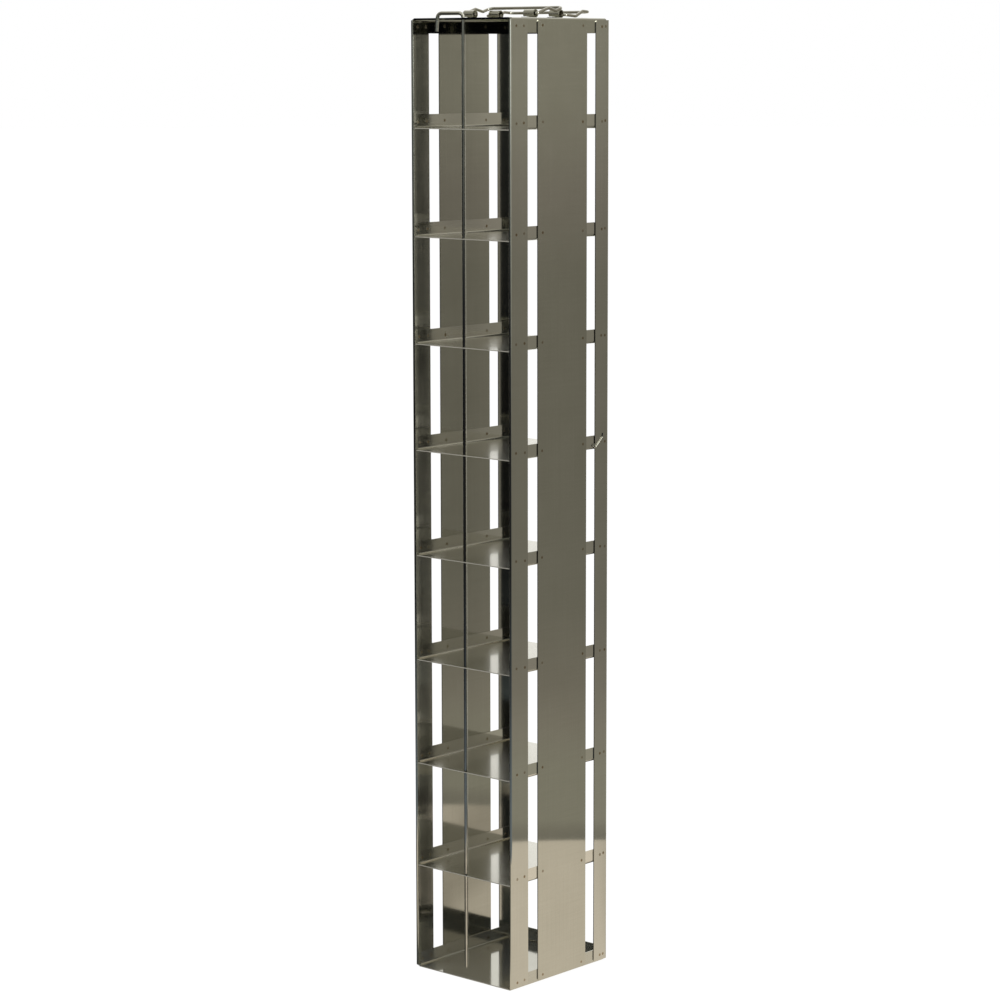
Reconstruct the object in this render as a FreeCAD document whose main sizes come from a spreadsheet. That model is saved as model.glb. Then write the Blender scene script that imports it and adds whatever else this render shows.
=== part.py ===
import FreeCAD, Part
import math
import os
import Sketcher

# Vertical freezer rack in stainless sheet and wire, in millimetres.
# Nine box bays stand one above another. Each level is a flat plate with its side edges
# turned up, spot welded to plain vertical strips that stand outside the turned edges.
# The front is open, and a loose wire rod drops through a hole near the front edge of
# every plate to keep the boxes in. Two wire bails on the top pan carry the rack.
#
# Frame: +X to the right of somebody facing the open front, +Y to the back, +Z up.
# The origin is the middle of the rack's footprint, on the surface that it stands on.

SIZES = [
    ("rack_width", 140.0, "outside width over the two walls"),
    ("rack_depth", 158.0, "outside depth over the rear angles"),
    ("shelf_pitch", 114.0, "from one plate to the next"),
    ("shelf_gauge", 1.0, "sheet of the shelves and pans"),
    ("wall_gauge", 1.0, "sheet of the strips, panels and angles"),
    ("bend_radius", 2.0, "inside radius of the plates' turned edges"),
    ("plate_setback", 1.6, "from the front to the plates' front edges"),
    ("shelf_back_gap", 1.0, "from a shelf's back edge to the rear angles"),
    ("shelf_flange", 15.0, "height of a shelf's turned edges"),
    ("top_flange", 15.6, "height of the top pan's turned edges"),
    ("bottom_flange", 15.0, "height of the bottom pan's turned edges"),
    ("top_lip", 2.0, "height of the top pan's front edge"),
    ("corner_relief", 0.6, "gap between a pan's back edge or lip and its side bends"),
    ("strip_width", 27.0, "depth of a front strip, over its hem"),
    ("hem_reach", 5.0, "length of the hem's inner leg from the front"),
    ("notch_gap", 0.2, "clearance of a plate's slot round the hem"),
    ("panel_setback", 43.0, "from the front to the side panel"),
    ("panel_back_gap", 14.5, "from the side panel to the rear angle"),
    ("angle_width", 22.0, "side leg of a rear angle"),
    ("angle_return", 17.0, "back leg of a rear angle"),
    ("angle_bend", 1.0, "inside radius of a rear angle's bend"),
    ("wall_end_gap", 2.0, "from the rack's ends to the ends of the walls"),
    ("corner_chamfer", 2.0, "cut corner of each wall sheet"),
    ("rod_diameter", 4.0, "lock rod wire"),
    ("rod_setback", 5.6, "from the front to the rod's axis"),
    ("rod_clearance", 0.4, "radial room of the rod in its holes"),
    ("rod_floor_gap", 11.0, "from the bottom plate to the rod's end"),
    ("hook_rise", 4.7, "from the top pan to the axis of the rod's handle"),
    ("hook_reach", 30.0, "length of the rod's handle"),
    ("hook_drop", 18.5, "height of the handle's hanging leg"),
    ("hook_front_gap", 0.4, "from the front to the hanging leg"),
    ("hook_bend", 5.0, "axis radius of the handle's bends"),
    ("hook_splay", 5.0, "outward lean of the hanging leg, in degrees"),
    ("bail_wire", 3.2, "wire of the carrying bails"),
    ("front_axis_setback", 63.0, "from the front to the front bail's axis"),
    ("crossbar_offset", 0.5, "reach of the front bail past the rear clips' axis"),
    ("front_bail_width", 102.8, "front bail, between the axes of its legs"),
    ("bail_pass_gap", 0.6, "room between the two bails' legs"),
    ("front_bail_leg", 18.6, "straight part of the front bail's legs"),
    ("rear_bail_leg", 16.8, "straight part of the rear bail's legs"),
    ("bail_step_run", 10.5, "length of the step in a leg"),
    ("bail_step_rise", 6.0, "height of the step in a leg"),
    ("bail_grip_run", 12.0, "from the step to the crossbar"),
    ("bail_corner", 6.0, "axis radius of the crossbar's corners"),
    ("bail_step_bend", 4.0, "axis radius of the step's bends"),
    ("bail_eye_bend", 2.2, "axis radius where the wire turns into its clip"),
    ("bail_tail", 0.6, "wire that stands out of the clip's inner end"),
    ("bail_plate_gap", 0.5, "room under the rear bail, laid down on the top pan"),
    ("bail_clip_gap", 0.6, "room under the front bail, laid down on the rear clips"),
    ("clip_leg_gap", 0.5, "from a clip's outer end to the front bail's leg"),
    ("clip_width", 13.7, "length of a clip along its axis"),
    ("clip_gauge", 1.0, "strap of a clip"),
    ("clip_bore", 6.8, "inside diameter of a clip's curl"),
    ("clip_foot", 7.0, "strap in front of the curl's axis"),
    ("clip_mouth", 50.0, "open angle of the curl above its foot, in degrees"),
    ("front_wire_gap", 2.1, "room under the front bail's wire in its curls"),
    ("rear_wire_gap", 0.7, "room under the rear bail's wire in its curls"),
    ("tag_wire", 1.2, "wire of the side hook"),
    ("tag_gap", 0.05, "from the rear angle's face to the side hook"),
    ("tag_back_gap", 22.4, "from the back to the side hook's turn"),
    ("tag_rise", 1.4, "from its shelf's underside to the side hook's turn"),
    ("tag_run", 12.3, "depth of the side hook's long leg"),
    ("tag_height", 10.9, "height of the side hook's long leg"),
    ("tag_tip", 4.3, "length of the long leg's upright tip"),
    ("tag_short_leg", 4.9, "height of the side hook's short leg"),
    ("tag_throat", 2.2, "width of the side hook's turn"),
    ("tag_bend", 1.5, "axis radius of the side hook's bends"),
]
SHELF_COUNT = 8
TAG_LEVEL = 5

doc = FreeCAD.newDocument("vertical_freezer_rack")
sheet = doc.addObject("Spreadsheet::Sheet", "Sizes")
for row, (alias, value, meaning) in enumerate(SIZES, start=1):
    sheet.set(f"A{row}", meaning)
    sheet.set(f"B{row}", str(value))
    sheet.setAlias(f"B{row}", alias)
doc.recompute()


class Term:
    """A length or an angle that knows its value and its wording in the sheet's terms."""

    def __init__(self, text, value):
        self.text = text
        self.value = value

    def __add__(self, other):
        other = term(other)
        return Term(f"({self.text} + {other.text})", self.value + other.value)

    def __sub__(self, other):
        other = term(other)
        return Term(f"({self.text} - {other.text})", self.value - other.value)

    def __mul__(self, other):
        other = term(other)
        return Term(f"({self.text} * {other.text})", self.value * other.value)

    def __truediv__(self, other):
        other = term(other)
        return Term(f"({self.text} / {other.text})", self.value / other.value)

    def __neg__(self):
        return Term(f"(0 - {self.text})", -self.value)


def term(thing):
    """Return a Term for a Term or a plain number."""
    if isinstance(thing, Term):
        return thing
    return Term(repr(float(thing)), float(thing))


def size(alias):
    """Return the Term of one cell of the sheet."""
    return Term(f"Sizes.{alias}", float(sheet.get(alias)))


def sine(angle):
    return Term(f"sin({angle.text})", math.sin(math.radians(angle.value)))


def cosine(angle):
    return Term(f"cos({angle.text})", math.cos(math.radians(angle.value)))


def arc_sine(ratio):
    return Term(f"asin({ratio.text})", math.degrees(math.asin(ratio.value)))


ZERO = term(0.0)
SHELF_GAUGE = size("shelf_gauge")
WALL_GAUGE = size("wall_gauge")
BEND_RADIUS = size("bend_radius")
OUTER_BEND = BEND_RADIUS + SHELF_GAUGE
HALF_WIDTH = size("rack_width") / 2
FLANGE_FACE = HALF_WIDTH - WALL_GAUGE
HEM_WIDTH = WALL_GAUGE * 2 + SHELF_GAUGE
FRONT = -(size("rack_depth") / 2)
PLATE_FRONT = FRONT + size("plate_setback")
PLATE_REACH = size("rack_depth") - WALL_GAUGE - size("plate_setback")
PITCH = size("shelf_pitch")
RACK_TOP = PITCH * (SHELF_COUNT + 1) + SHELF_GAUGE
WALL_LENGTH = RACK_TOP - size("wall_end_gap") * 2
WIRE_RADIUS = size("bail_wire") / 2
STEP_TO_CROSSBAR = size("bail_step_run") + size("bail_grip_run")
FRONT_REACH = size("front_bail_leg") + STEP_TO_CROSSBAR
FRONT_AXIS = size("front_axis_setback")
REAR_AXIS = FRONT_AXIS + FRONT_REACH - size("crossbar_offset")
FRONT_BAIL = size("front_bail_width")
REAR_BAIL = FRONT_BAIL + size("bail_wire") * 2 + size("bail_pass_gap") * 2
CLIP_OUTER_END = FRONT_BAIL / 2 - WIRE_RADIUS - size("clip_leg_gap")
CLIP_INNER_END = CLIP_OUTER_END - size("clip_width")
CLIP_RADIUS = size("clip_bore") / 2 + size("clip_gauge")
FRONT_RISE = size("clip_gauge") + size("front_wire_gap") + WIRE_RADIUS
REAR_RISE = size("clip_gauge") + size("rear_wire_gap") + WIRE_RADIUS


class Outline:
    """A run of straight and round stretches, whose corners are Terms."""

    def __init__(self, x, y):
        self.points = [(term(x), term(y))]
        self.bends = []

    def line(self, x, y):
        self.points.append((term(x), term(y)))
        self.bends.append(None)
        return self

    def arc(self, x, y, centre_x, centre_y, turn, held):
        """Add an arc to (x, y); turn is 1 for anticlockwise, held is the centre's pinned side."""
        self.points.append((term(x), term(y)))
        self.bends.append((term(centre_x), term(centre_y), turn, held))
        return self


def new_body(name, x, y, z):
    """Add a body whose own origin lies at (x, y, z), all Terms."""
    body = doc.addObject("PartDesign::Body", name)
    body.Label = name
    for axis, place in (("x", x), ("y", y), ("z", z)):
        body.setExpression(f"Placement.Base.{axis}", place.text)
    return body


def new_sketch(body, role, name):
    """Add a sketch on one of the body's own origin planes."""
    sketch = body.newObject("Sketcher::SketchObject", f"{body.Name}_{name}")
    plane = [item for item in body.Origin.OriginFeatures if item.Role == role][0]
    sketch.AttachmentSupport = [(plane, "")]
    sketch.MapMode = "FlatFace"
    return sketch


def bind(sketch, constraint, amount):
    """Add a constraint to the sketch and bind its value to the sheet."""
    index = sketch.addConstraint(constraint)
    name = f"size{index}"
    sketch.renameConstraint(index, name)
    sketch.setExpression(f"Constraints.{name}", amount.text)


def pin(sketch, element, end, x=None, y=None):
    """Hold a point of an element at x and y from the sketch's origin."""
    if x is not None:
        bind(sketch, Sketcher.Constraint("DistanceX", -1, 1, element, end, x.value), x)
    if y is not None:
        bind(sketch, Sketcher.Constraint("DistanceY", -1, 1, element, end, y.value), y)


def add_stretch(sketch, start, finish, bend):
    """Draw one stretch and return its index and which of its ends comes first."""
    first = FreeCAD.Vector(start[0].value, start[1].value, 0)
    last = FreeCAD.Vector(finish[0].value, finish[1].value, 0)
    if bend is None:
        return sketch.addGeometry(Part.LineSegment(first, last), False), 1
    centre_x, centre_y, turn, held = bend
    centre = FreeCAD.Vector(centre_x.value, centre_y.value, 0)
    circle = Part.Circle(centre, FreeCAD.Vector(0, 0, 1), first.sub(centre).Length)
    low, high = (first, last) if turn > 0 else (last, first)
    low_angle = math.atan2(low.y - centre.y, low.x - centre.x)
    high_angle = math.atan2(high.y - centre.y, high.x - centre.x)
    if high_angle <= low_angle:
        high_angle += 2 * math.pi
    index = sketch.addGeometry(Part.ArcOfCircle(circle, low_angle, high_angle), False)
    if held == "x":
        pin(sketch, index, 3, x=centre_x)
    else:
        pin(sketch, index, 3, y=centre_y)
    return index, 1 if turn > 0 else 2


def draw(sketch, outline, closed=True):
    """Draw an outline in the sketch, with each corner held by the sheet."""
    count = len(outline.points)
    bends = outline.bends + ([None] if closed else [])
    drawn = []
    for index, bend in enumerate(bends):
        start = outline.points[index]
        finish = outline.points[(index + 1) % count]
        drawn.append(add_stretch(sketch, start, finish, bend))
    for index, (element, first_end) in enumerate(drawn):
        last_end = 3 - first_end
        if closed or index + 1 < len(drawn):
            next_element, next_end = drawn[(index + 1) % len(drawn)]
            meeting = Sketcher.Constraint("Coincident", element, last_end, next_element, next_end)
            sketch.addConstraint(meeting)
        pin(sketch, element, first_end, *outline.points[index])
    if not closed:
        element, first_end = drawn[-1]
        pin(sketch, element, 3 - first_end, *outline.points[-1])


def pad(body, sketch, length, name, backwards=False, both_ways=False):
    """Pad a sketch by a Term, along its normal, against it or half each way."""
    feature = body.newObject("PartDesign::Pad", f"{body.Name}_{name}")
    feature.Profile = sketch
    feature.Reversed = backwards
    if both_ways:
        feature.SideType = "Symmetric"
    feature.setExpression("Length", length.text)
    sketch.Visibility = False


def cut_through(body, sketch, name):
    """Cut a sketch through the body, both ways from its plane."""
    feature = body.newObject("PartDesign::Pocket", f"{body.Name}_{name}")
    feature.Profile = sketch
    feature.SideType = "Symmetric"
    feature.Type = "ThroughAll"
    sketch.Visibility = False


def near(value, target):
    return abs(value - target) < 0.01


def edges_where(shape, along, test):
    """Name the edges along one axis (0, 1 or 2) whose two ends both pass a test."""
    names = []
    for index, edge in enumerate(shape.Edges, start=1):
        if len(edge.Vertexes) != 2:
            continue
        ends = [vertex.Point for vertex in edge.Vertexes]
        span = ends[1].sub(ends[0])
        if near(abs(span[along]), edge.Length) and all(test(point) for point in ends):
            names.append(f"Edge{index}")
    return names


def round_edges(body, name, radius, along, test):
    """Fillet the edges of the body's last feature that run along an axis and pass a test."""
    doc.recompute()
    base = body.Tip
    feature = body.newObject("PartDesign::Fillet", f"{body.Name}_{name}")
    feature.Base = (base, edges_where(base.Shape, along, test))
    feature.setExpression("Radius", radius.text)


def cut_corners(body, edges_y=(), edges_x=()):
    """Chamfer the end corners of a wall sheet that lie at the given Y or at the given X."""
    doc.recompute()
    base = body.Tip
    ends = (0.0, WALL_LENGTH.value)

    def at_corner(point):
        beside = any(near(point.y, y.value) for y in edges_y)
        beside = beside or any(near(abs(point.x), x.value) for x in edges_x)
        return beside and any(near(point.z, end) for end in ends)

    names = [name for along in (0, 1) for name in edges_where(base.Shape, along, at_corner)
             if near(base.Shape.getElement(name).Length, WALL_GAUGE.value)]
    feature = body.newObject("PartDesign::Chamfer", f"{body.Name}_corners")
    feature.Base = (base, names)
    feature.setExpression("Size", size("corner_chamfer").text)


def turned_section(flange, up):
    """Section of a plate with two turned edges, with the plate's outer face at zero."""
    gauge = SHELF_GAUGE if up else -SHELF_GAUGE
    height = flange if up else -flange
    inner = FLANGE_FACE - SHELF_GAUGE
    outline = Outline(-FLANGE_FACE, ZERO)
    outline.line(FLANGE_FACE, ZERO).line(FLANGE_FACE, height).line(inner, height)
    outline.line(inner, gauge).line(-inner, gauge).line(-inner, height)
    return outline.line(-FLANGE_FACE, height)


def round_side_bends(body, up):
    """Give the two turned side edges their bend."""
    face = FLANGE_FACE.value
    inner = face - SHELF_GAUGE.value
    level = SHELF_GAUGE.value if up else -SHELF_GAUGE.value
    round_edges(body, "outer_bends", OUTER_BEND, 1,
                lambda p: near(abs(p.x), face) and near(p.z, 0))
    round_edges(body, "inner_bends", BEND_RADIUS, 1,
                lambda p: near(abs(p.x), inner) and near(p.z, level))


def slot_front(body):
    """Slot the plate's two front corners for the inner legs of the front strips' hems."""
    depth = size("hem_reach") + size("notch_gap") - size("plate_setback")
    inner = HALF_WIDTH - HEM_WIDTH - size("notch_gap")
    outer = FLANGE_FACE - SHELF_GAUGE
    for side, hand in ((1, "right"), (-1, "left")):
        sketch = new_sketch(body, "XY_Plane", f"{hand}_slot")
        outline = Outline(inner * side, -WALL_GAUGE)
        outline.line(outer * side, -WALL_GAUGE).line(outer * side, depth)
        draw(sketch, outline.line(inner * side, depth))
        cut_through(body, sketch, f"{hand}_slot_cut")


def drill_rod_hole(body):
    """Make the plate's hole for the lock rod, close behind the front edge."""
    sketch = new_sketch(body, "XY_Plane", "rod_hole")
    radius = size("rod_diameter") / 2 + size("rod_clearance")
    place = size("rod_setback") - size("plate_setback")
    centre = FreeCAD.Vector(0, place.value, 0)
    circle = sketch.addGeometry(Part.Circle(centre, FreeCAD.Vector(0, 0, 1), radius.value), False)
    bind(sketch, Sketcher.Constraint("Radius", circle, radius.value), radius)
    sketch.addConstraint(Sketcher.Constraint("PointOnObject", circle, 3, -2))
    pin(sketch, circle, 3, y=place)
    cut_through(body, sketch, "rod_hole_cut")


def make_shelf(level):
    """One shelf: a plate with its left and right edges turned up."""
    body = new_body(f"shelf_{SHELF_COUNT + 1 - level}", ZERO, PLATE_FRONT, PITCH * level)
    sketch = new_sketch(body, "XZ_Plane", "section")
    draw(sketch, turned_section(size("shelf_flange"), True))
    pad(body, sketch, PLATE_REACH - size("shelf_back_gap"), "plate", backwards=True)
    round_side_bends(body, True)
    slot_front(body)
    drill_rod_hole(body)
    return body


def make_pan(name, height, flange, up):
    """An end pan: a plate with its left, right and back edges turned the same way."""
    body = new_body(name, ZERO, PLATE_FRONT, height)
    sketch = new_sketch(body, "XZ_Plane", "section")
    draw(sketch, turned_section(flange, up))
    pad(body, sketch, PLATE_REACH - OUTER_BEND, "plate", backwards=True)
    round_side_bends(body, up)

    gauge = SHELF_GAUGE if up else -SHELF_GAUGE
    rim = flange if up else -flange
    overlap = PLATE_REACH - OUTER_BEND * 3
    half_rim = FLANGE_FACE - OUTER_BEND - size("corner_relief")
    back_edge = new_sketch(body, "YZ_Plane", "back_edge")
    outline = Outline(overlap, ZERO).line(PLATE_REACH, ZERO).line(PLATE_REACH, rim)
    outline.line(PLATE_REACH - SHELF_GAUGE, rim).line(PLATE_REACH - SHELF_GAUGE, gauge)
    draw(back_edge, outline.line(overlap, gauge))
    pad(body, back_edge, half_rim * 2, "rim", both_ways=True)
    reach = PLATE_REACH.value
    inner = reach - SHELF_GAUGE.value
    round_edges(body, "outer_back_bend", OUTER_BEND, 0,
                lambda p: near(p.y, reach) and near(p.z, 0))
    round_edges(body, "inner_back_bend", BEND_RADIUS, 0,
                lambda p: near(p.y, inner) and near(p.z, gauge.value))
    slot_front(body)
    return body


def make_top_pan():
    """The top pan, with a short lip along its front edge and the rod's upper hole."""
    body = make_pan("top_pan", RACK_TOP, size("top_flange"), False)
    half_lip = FLANGE_FACE - OUTER_BEND - size("corner_relief")
    sketch = new_sketch(body, "YZ_Plane", "front_lip")
    outline = Outline(ZERO, ZERO).line(SHELF_GAUGE, ZERO)
    outline.line(SHELF_GAUGE, -size("top_lip"))
    draw(sketch, outline.line(ZERO, -size("top_lip")))
    pad(body, sketch, half_lip * 2, "lip", both_ways=True)
    drill_rod_hole(body)
    return body


def make_front_strip(name, side):
    """A front strip with a hem folded inwards round the turned edges' front ends."""
    body = new_body(name, ZERO, FRONT, size("wall_end_gap"))
    fold = HEM_WIDTH / 2
    slot = SHELF_GAUGE / 2
    middle = HALF_WIDTH - fold
    inner = HALF_WIDTH - HEM_WIDTH
    outline = Outline(HALF_WIDTH * side, size("strip_width")).line(HALF_WIDTH * side, fold)
    outline.arc(inner * side, fold, middle * side, fold, -side, "y")
    outline.line(inner * side, size("hem_reach"))
    outline.line((inner + WALL_GAUGE) * side, size("hem_reach"))
    outline.line((middle - slot) * side, fold)
    outline.arc((middle + slot) * side, fold, middle * side, fold, side, "y")
    outline.line(FLANGE_FACE * side, size("strip_width"))
    sketch = new_sketch(body, "XY_Plane", "section")
    draw(sketch, outline)
    pad(body, sketch, WALL_LENGTH, "strip")
    cut_corners(body, edges_y=[size("strip_width")])
    return body


def make_side_panel(name, side):
    """A plain flat panel in the middle of one wall."""
    body = new_body(name, ZERO, FRONT, size("wall_end_gap"))
    front = size("panel_setback")
    rear = size("rack_depth") - size("angle_width") - size("panel_back_gap")
    sketch = new_sketch(body, "XY_Plane", "section")
    outline = Outline(HALF_WIDTH * side, front).line(HALF_WIDTH * side, rear)
    outline.line(FLANGE_FACE * side, rear)
    draw(sketch, outline.line(FLANGE_FACE * side, front))
    pad(body, sketch, WALL_LENGTH, "panel")
    cut_corners(body, edges_y=[front, rear])
    return body


def make_rear_angle(name, side):
    """A rear corner angle, whose back leg stops the boxes at the back."""
    body = new_body(name, ZERO, FRONT, size("wall_end_gap"))
    depth = size("rack_depth")
    start = depth - size("angle_width")
    toe = HALF_WIDTH - size("angle_return")
    outline = Outline(HALF_WIDTH * side, start).line(HALF_WIDTH * side, depth)
    outline.line(toe * side, depth).line(toe * side, depth - WALL_GAUGE)
    outline.line(FLANGE_FACE * side, depth - WALL_GAUGE).line(FLANGE_FACE * side, start)
    sketch = new_sketch(body, "XY_Plane", "section")
    draw(sketch, outline)
    pad(body, sketch, WALL_LENGTH, "angle")
    outer = HALF_WIDTH.value
    inner = FLANGE_FACE.value
    back = depth.value
    round_edges(body, "outer_bend", size("angle_bend") + WALL_GAUGE, 2,
                lambda p: near(abs(p.x), outer) and near(p.y, back))
    round_edges(body, "inner_bend", size("angle_bend"), 2,
                lambda p: near(abs(p.x), inner) and near(p.y, back - WALL_GAUGE.value))
    cut_corners(body, edges_y=[start], edges_x=[toe])
    return body


def make_clip(name, side, setback):
    """A strap clip: a flat foot on the top pan, curled over the bail's wire."""
    left_end = CLIP_INNER_END if side > 0 else -CLIP_OUTER_END
    body = new_body(name, left_end, FRONT + setback, RACK_TOP)
    gauge = size("clip_gauge")
    bore = size("clip_bore") / 2
    mouth = size("clip_mouth")
    outline = Outline(-size("clip_foot"), ZERO).line(ZERO, ZERO)
    outline.arc(-(CLIP_RADIUS * sine(mouth)), CLIP_RADIUS - CLIP_RADIUS * cosine(mouth),
                ZERO, CLIP_RADIUS, 1, "y")
    outline.line(-(bore * sine(mouth)), CLIP_RADIUS - bore * cosine(mouth))
    outline.arc(ZERO, gauge, ZERO, CLIP_RADIUS, -1, "y")
    outline.line(-size("clip_foot"), gauge)
    sketch = new_sketch(body, "YZ_Plane", "section")
    draw(sketch, outline)
    pad(body, sketch, size("clip_width"), "strap")
    return body


def make_lock_rod():
    """The lock rod: a straight wire with a handle bent over the top pan's front edge."""
    radius = size("rod_diameter") / 2
    lower_end = SHELF_GAUGE + size("rod_floor_gap")
    body = new_body("lock_rod", ZERO, FRONT + size("rod_setback"), lower_end)
    turn = arc_sine((size("rod_setback") + radius + size("hook_front_gap")) / size("hook_reach"))
    body.setExpression("Placement.Rotation.Angle", turn.text)
    body.setExpression("Placement.Rotation.Axis.z", "1")

    run = RACK_TOP + size("hook_rise") - lower_end
    bend = size("hook_bend")
    reach = size("hook_reach")
    splay = size("hook_splay")
    low = run - bend
    arc_end_x = bend - reach - bend * cosine(splay)
    arc_end_y = low + bend * sine(splay)
    leg_end = run - size("hook_drop")
    lean = (arc_end_y - leg_end) * sine(splay) / cosine(splay)
    path = Outline(ZERO, ZERO).line(ZERO, low)
    path.arc(-bend, run, -bend, low, 1, "x")
    path.line(bend - reach, run)
    path.arc(arc_end_x, arc_end_y, bend - reach, low, 1, "x")
    path.line(arc_end_x - lean, leg_end)
    spine = new_sketch(body, "XZ_Plane", "path")
    draw(spine, path, closed=False)

    section = new_sketch(body, "XY_Plane", "section")
    centre = FreeCAD.Vector(0, 0, 0)
    circle = section.addGeometry(Part.Circle(centre, FreeCAD.Vector(0, 0, 1), radius.value), False)
    section.addConstraint(Sketcher.Constraint("Coincident", circle, 3, -1, 1))
    bind(section, Sketcher.Constraint("Radius", circle, radius.value), radius)
    doc.recompute()

    pipe = body.newObject("PartDesign::AdditivePipe", "lock_rod_wire")
    pipe.Profile = section
    pipe.Spine = (spine, [f"Edge{index}" for index in range(1, len(path.points))])
    spine.Visibility = False
    section.Visibility = False
    return body


def wire_path(corners, radii):
    """Join corners by straight runs, with an arc of the given radius at each inner corner."""
    edges = []
    start = corners[0]
    for index in range(1, len(corners) - 1):
        corner = corners[index]
        radius = radii[index - 1]
        arriving = corner.sub(corners[index - 1]).normalize()
        leaving = corners[index + 1].sub(corner).normalize()
        turn = arriving.getAngle(leaving)
        setback = radius * math.tan(turn / 2)
        first = corner.sub(arriving * setback)
        last = corner.add(leaving * setback)
        inward = leaving.sub(arriving).normalize()
        middle = corner.add(inward * (radius * (1 / math.cos(turn / 2) - 1)))
        edges.append(Part.LineSegment(start, first).toShape())
        edges.append(Part.Arc(first, middle, last).toShape())
        start = last
    edges.append(Part.LineSegment(start, corners[-1]).toShape())
    return Part.Wire(edges)


def swept_wire(name, corners, radii, diameter):
    """A round wire along a path of runs and bends, as a sub-part of its own."""
    path = wire_path(corners, radii)
    direction = corners[1].sub(corners[0])
    section = Part.Wire(Part.Circle(corners[0], direction, diameter / 2).toShape())
    feature = doc.addObject("Part::Feature", name)
    feature.Label = name
    feature.Shape = path.makePipeShell([section], True, False)
    return feature


def make_bail(name, width, leg, step_rise, tilt, axis):
    """A carrying bail: a wire loop with a step in each leg, pivoted in its two clips."""
    half = width.value / 2
    tail = (CLIP_INNER_END - size("bail_tail")).value
    step_start = leg.value
    step_end = (leg + size("bail_step_run")).value
    reach = (leg + STEP_TO_CROSSBAR).value
    right = [
        FreeCAD.Vector(tail, 0, 0),
        FreeCAD.Vector(half, 0, 0),
        FreeCAD.Vector(half, step_start, 0),
        FreeCAD.Vector(half, step_end, step_rise),
        FreeCAD.Vector(half, reach, step_rise),
    ]
    left = [FreeCAD.Vector(-corner.x, corner.y, corner.z) for corner in reversed(right)]
    step_bend = size("bail_step_bend").value
    radii = [size("bail_eye_bend").value, step_bend, step_bend, size("bail_corner").value]
    bail = swept_wire(name, right + left, radii + radii[::-1], size("bail_wire").value)
    bail.Placement = FreeCAD.Placement(axis, FreeCAD.Rotation(FreeCAD.Vector(1, 0, 0), tilt))
    return bail


def bail_axis(setback, rise):
    """Middle of a bail's axis, at a setback from the front and a rise from the top pan."""
    return FreeCAD.Vector(0, (FRONT + setback).value, (RACK_TOP + rise).value)


def front_bail_tilt():
    """Angle at which the front bail, laid to the back, rests on the rear clips."""
    reach = FRONT_REACH.value
    rise = size("bail_step_rise").value
    rest = (CLIP_RADIUS * 2 + size("bail_clip_gap") + WIRE_RADIUS - FRONT_RISE).value
    return math.degrees(math.asin(rest / math.hypot(reach, rise)) + math.atan2(rise, reach))


def rear_bail_tilt():
    """Angle at which the rear bail, laid to the back, rests on the top pan."""
    drop = (REAR_RISE - WIRE_RADIUS - size("bail_plate_gap")).value
    return -math.degrees(math.asin(drop / size("rear_bail_leg").value))


def make_side_hook():
    """A small wire hook on the outside of the right wall, by the rear angle."""
    face = (HALF_WIDTH + size("tag_gap") + size("tag_wire") / 2).value
    turn_y = (-FRONT - size("tag_back_gap")).value
    turn_z = (PITCH * TAG_LEVEL + size("tag_rise")).value
    throat = size("tag_throat").value
    tip_y = turn_y + size("tag_run").value
    tip_z = turn_z + size("tag_height").value
    upright = size("tag_tip").value
    corners = [
        FreeCAD.Vector(face, turn_y - throat / 2, turn_z + size("tag_short_leg").value),
        FreeCAD.Vector(face, turn_y - throat, turn_z + throat),
        FreeCAD.Vector(face, turn_y, turn_z),
        FreeCAD.Vector(face, tip_y, tip_z),
        FreeCAD.Vector(face, tip_y + upright / 5, tip_z + upright),
    ]
    radii = [size("tag_bend").value] * 3
    return swept_wire("side_wire_hook", corners, radii, size("tag_wire").value)


parts = [make_shelf(level) for level in range(1, SHELF_COUNT + 1)]
parts.append(make_top_pan())
parts.append(make_pan("bottom_pan", ZERO, size("bottom_flange"), True))
for side, hand in ((-1, "left"), (1, "right")):
    parts.append(make_front_strip(f"front_strip_{hand}", side))
    parts.append(make_side_panel(f"side_panel_{hand}", side))
    parts.append(make_rear_angle(f"rear_angle_{hand}", side))
    parts.append(make_clip(f"clip_front_{hand}", side, FRONT_AXIS))
    parts.append(make_clip(f"clip_rear_{hand}", side, REAR_AXIS))
parts.append(make_lock_rod())
step_rise = size("bail_step_rise").value
parts.append(make_bail("front_bail", FRONT_BAIL, size("front_bail_leg"), -step_rise,
                       front_bail_tilt(), bail_axis(FRONT_AXIS, FRONT_RISE)))
parts.append(make_bail("rear_bail", REAR_BAIL, size("rear_bail_leg"), step_rise,
                       rear_bail_tilt(), bail_axis(REAR_AXIS, REAR_RISE)))
parts.append(make_side_hook())
doc.recompute()

for item in doc.Objects:
    state = [word for word in item.State if word in ("Invalid", "Error")]
    if state:
        raise RuntimeError(f"{item.Name} did not build: {state}")
os.makedirs("parts", exist_ok=True)
for item in parts:
    if item.Shape.isNull() or not item.Shape.isValid():
        raise RuntimeError(f"{item.Label} has no valid shape")
    item.Shape.exportStep(f"parts/{item.Label}.step")
    box = item.Shape.BoundBox
    print(f"{item.Label:20s} solids {len(item.Shape.Solids)} "
          f"x {box.XMin:8.2f} {box.XMax:8.2f} y {box.YMin:8.2f} {box.YMax:8.2f} "
          f"z {box.ZMin:8.2f} {box.ZMax:8.2f}")
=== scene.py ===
"""Looks of a tall stainless freezer rack: its steel, its weld marks, the studio and the camera.

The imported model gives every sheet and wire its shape. This script gives them their finishes, adds
the marks of the spot welds that hold the sheets together, and sets up the studio. The rack's
classes hold their sizes in millimetres and the studio's in metres. Meshes are in metres, in the
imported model's own frame.
"""

from __future__ import annotations

import logging
import math
from collections.abc import Iterable, Mapping, Sequence
from dataclasses import dataclass, replace
from enum import Enum
from typing import Any

import bmesh
import bpy
from mathutils import Matrix, Vector


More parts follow.
